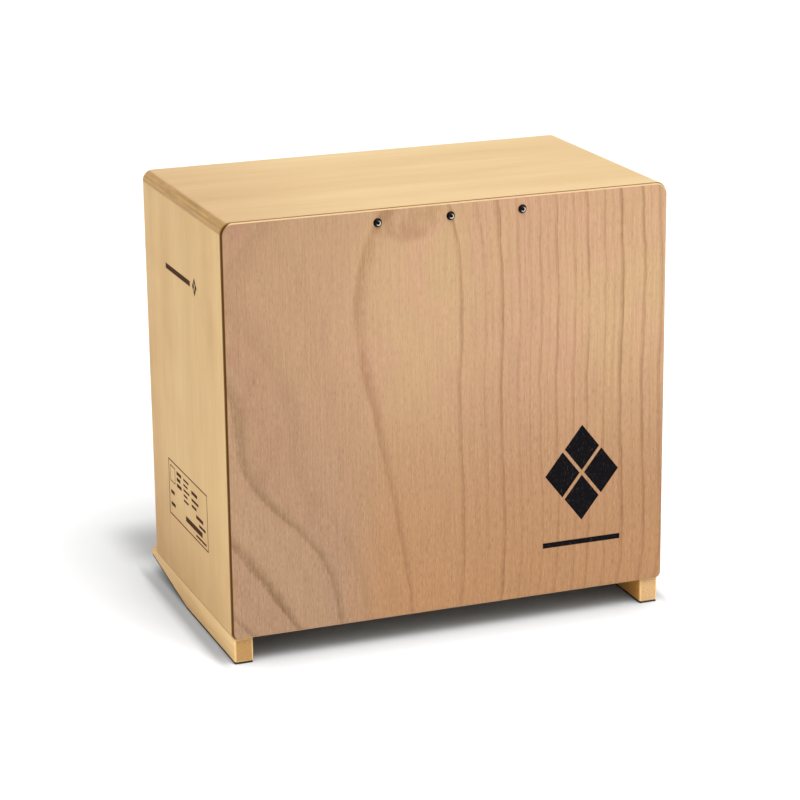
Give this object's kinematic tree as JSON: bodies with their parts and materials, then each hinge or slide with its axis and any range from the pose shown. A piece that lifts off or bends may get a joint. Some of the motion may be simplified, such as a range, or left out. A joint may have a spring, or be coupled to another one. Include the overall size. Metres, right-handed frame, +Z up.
{
  "type": "bass cajon",
  "caption": "Wide box drum with a screwed wooden playing plate, a removable snare behind it, and two runners on which it stands level or leans back.",
  "frame": {"origin": "on the floor, under the middle of the whole drum", "axes": "+X to the right as seen by somebody facing the playing plate, +Y from the playing plate to the back panel, +Z up"},
  "size_m": [0.5, 0.3238, 0.479],
  "materials": {
    "birch_ply": "clear satin lacquer, plies visible at the edges",
    "beech_plate": "matt lacquered beech veneer, upright grain",
    "batten_wood": "raw planed softwood",
    "runner_wood": "clear satin lacquer",
    "strip_rubber": "matt",
    "black_steel": "black oxide, slightly glossy",
    "zinc_steel": "zinc plated",
    "brass": "plain brass",
    "snare_wire": "bright coiled wire",
    "hook_and_loop": "black hook-and-loop tape"
  },
  "bodies": {
    "case": {"top_panel": "birch_ply", "bottom_panel": "birch_ply", "left_side_panel": "birch_ply", "right_side_panel": "birch_ply", "back_panel": "birch_ply", "playing_plate": "beech_plate", "front_top_batten": "batten_wood", "front_bottom_batten": "batten_wood", "front_left_batten": "batten_wood", "front_right_batten": "batten_wood", "back_top_batten": "batten_wood", "back_bottom_batten": "batten_wood", "back_left_batten": "batten_wood", "back_right_batten": "batten_wood", "left_runner": "runner_wood", "right_runner": "runner_wood", "left_runner_strip": "strip_rubber", "right_runner_strip": "strip_rubber", "runner_screws": "zinc_steel", "back_panel_screws": "zinc_steel", "threaded_inserts": "brass", "loop_pads": "hook_and_loop"},
    "snare": {"snare_bar": "runner_wood", "hook_pads": "hook_and_loop", "left_snare_strands": "snare_wire", "right_snare_strands": "snare_wire", "left_snare_clip": "brass", "right_snare_clip": "brass", "snare_clip_screws": "zinc_steel"},
    "left_tone_screw": {"left_tone_screw": "black_steel"},
    "middle_tone_screw": {"middle_tone_screw": "black_steel"},
    "right_tone_screw": {"right_tone_screw": "black_steel"}
  },
  "joints": [
    {"name": "left_tone_screw_turn", "type": "hinge", "parent": "case", "child": "left_tone_screw", "pos_m": [-0.081, -0.15515, 0.465], "axis": [0, -1, 0], "range_deg": [0, 360]},
    {"name": "middle_tone_screw_turn", "type": "hinge", "parent": "case", "child": "middle_tone_screw", "pos_m": [0, -0.15515, 0.465], "axis": [0, -1, 0], "range_deg": [0, 360]},
    {"name": "right_tone_screw_turn", "type": "hinge", "parent": "case", "child": "right_tone_screw", "pos_m": [0.081, -0.15515, 0.465], "axis": [0, -1, 0], "range_deg": [0, 360]},
    {"name": "snare_pull", "type": "slide", "parent": "case", "child": "snare", "axis": [0, 1, 0], "range_m": [0, 0.06]}
  ]
}
